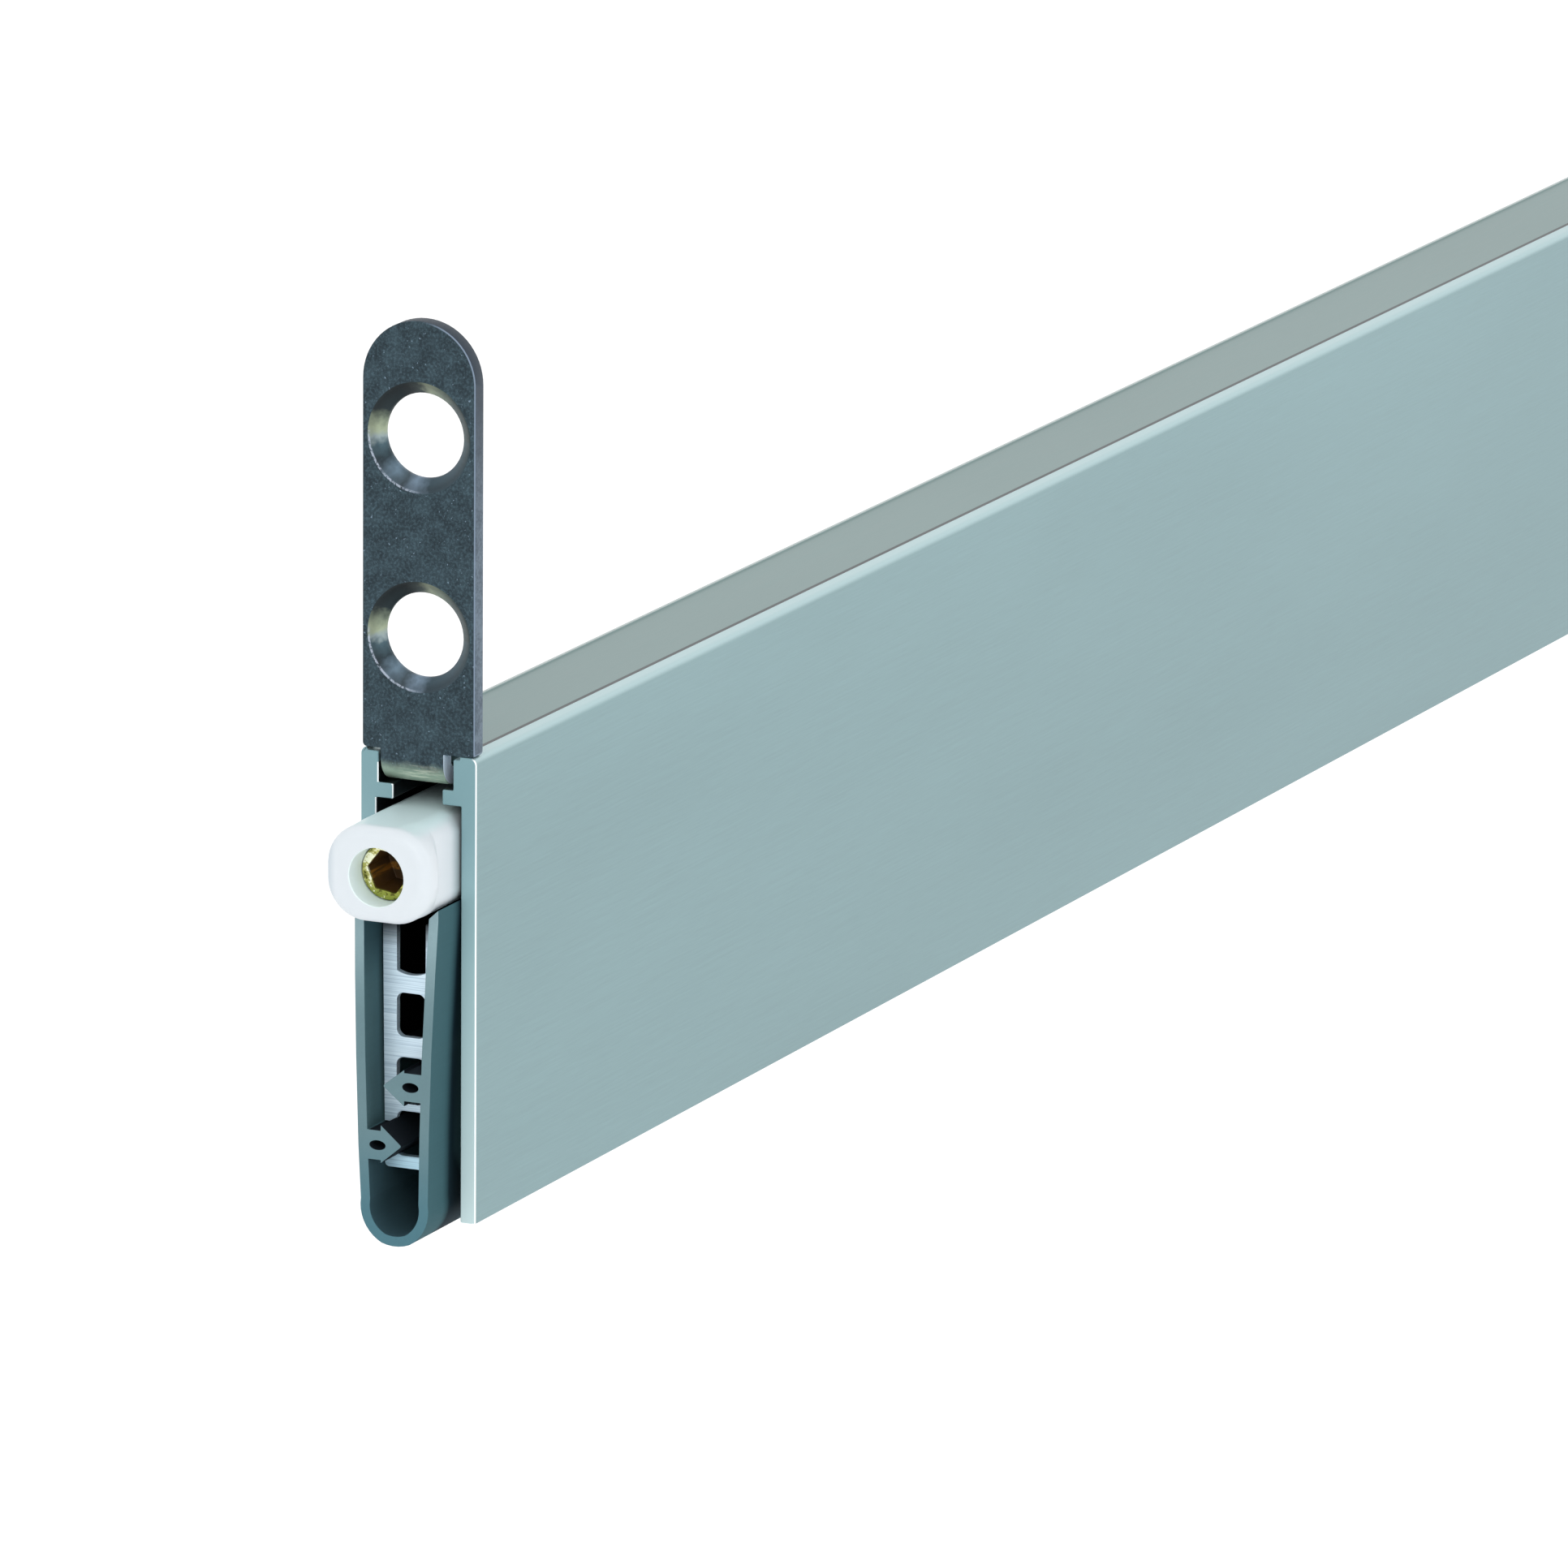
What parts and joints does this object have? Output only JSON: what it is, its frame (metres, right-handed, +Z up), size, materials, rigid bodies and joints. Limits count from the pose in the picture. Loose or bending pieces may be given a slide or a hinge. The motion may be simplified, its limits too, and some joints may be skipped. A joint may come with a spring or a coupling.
{
  "type": "automatic door bottom seal",
  "caption": "Slim aluminium drop-down seal for a door's bottom edge: pressing the plunger at its end lowers a soft silicone strip, and end brackets hold it in its groove.",
  "frame": {"origin": "middle of the housing's recessed top face, which bears on the bottom of the door's groove", "axes": "+X along the length, away from the plunger; +Z up, out of the top face; -Y the thicker wall"},
  "size_m": [0.3441, 0.008, 0.0586],
  "materials": {
    "anodised_aluminium": "fine brushed, anodised",
    "dark_steel": "dark grey, fine speckle",
    "white_plastic": "moulded, satin",
    "brass": "turned",
    "zinc_steel": "zinc plated",
    "stainless_sheet": "stamped, brushed",
    "spring_wire": "drawn wire",
    "silicone": "smooth silicone"
  },
  "bodies": {
    "housing": {"housing": "anodised_aluminium", "rod_guide_1": "white_plastic", "rod_guide_2": "white_plastic", "guide_block": "white_plastic", "block_screw": "zinc_steel", "return_spring": "spring_wire"},
    "near_bracket": {"near_bracket": "dark_steel"},
    "far_bracket": {"far_bracket": "dark_steel"},
    "push_rod": {"push_rod": "zinc_steel", "rod_nut": "brass", "tail_pin": "zinc_steel", "upper_pin_1": "zinc_steel", "upper_pin_2": "zinc_steel"},
    "plunger": {"plunger": "white_plastic"},
    "adjust_screw": {"adjust_screw": "brass", "screw_collar": "brass"},
    "link_1": {"link_1_near": "zinc_steel", "link_1_far": "zinc_steel", "lower_pin_1": "zinc_steel"},
    "link_2": {"link_2_near": "zinc_steel", "link_2_far": "zinc_steel", "lower_pin_2": "zinc_steel"},
    "seal_carrier": {"carrier_channel": "zinc_steel", "guide_post": "zinc_steel", "near_end_clip": "stainless_sheet", "far_end_clip": "stainless_sheet", "seal": "silicone", "mid_clip_1": "stainless_sheet", "mid_clip_2": "stainless_sheet", "mid_clip_3": "stainless_sheet"}
  },
  "joints": [
    {"name": "plunger_press", "type": "slide", "parent": "housing", "child": "push_rod", "axis": [1, 0, 0], "range_m": [0, 0.0032], "stiffness_N_per_m": 1500, "springref_m": -0.004, "deforming": ["return_spring"]},
    {"name": "seal_drop", "type": "slide", "parent": "housing", "child": "seal_carrier", "axis": [0, 0, -1], "range_m": [0, 0.011]},
    {"name": "link_1_swing", "type": "hinge", "parent": "push_rod", "child": "link_1", "pos_m": [-0.1055, 0, -0.00655], "axis": [0, 1, 0], "range_deg": [0, 16.5]},
    {"name": "link_2_swing", "type": "hinge", "parent": "push_rod", "child": "link_2", "pos_m": [0.0085, 0, -0.00655], "axis": [0, 1, 0], "range_deg": [0, 16.5]},
    {"name": "plunger_adjust", "type": "slide", "parent": "push_rod", "child": "plunger", "axis": [-1, 0, 0], "range_m": [0, 0.002]},
    {"name": "screw_turn", "type": "hinge", "parent": "plunger", "child": "adjust_screw", "pos_m": [-0.1675, 0, -0.00655], "axis": [-1, 0, 0], "range_deg": [0, 1440]},
    {"name": "near_bracket_slide", "type": "slide", "parent": "housing", "child": "near_bracket", "axis": [-1, 0, 0], "range_m": [0, 0.015]},
    {"name": "far_bracket_slide", "type": "slide", "parent": "housing", "child": "far_bracket", "axis": [1, 0, 0], "range_m": [0, 0.015]}
  ],
  "couplings": [
    {"joint": "seal_drop", "follows": "plunger_press", "ratio": 3.42},
    {"joint": "link_1_swing", "follows": "plunger_press", "rad_per_m": 89.4},
    {"joint": "link_2_swing", "follows": "plunger_press", "rad_per_m": 89.4},
    {"joint": "screw_turn", "follows": "plunger_adjust", "rad_per_m": 12560}
  ]
}
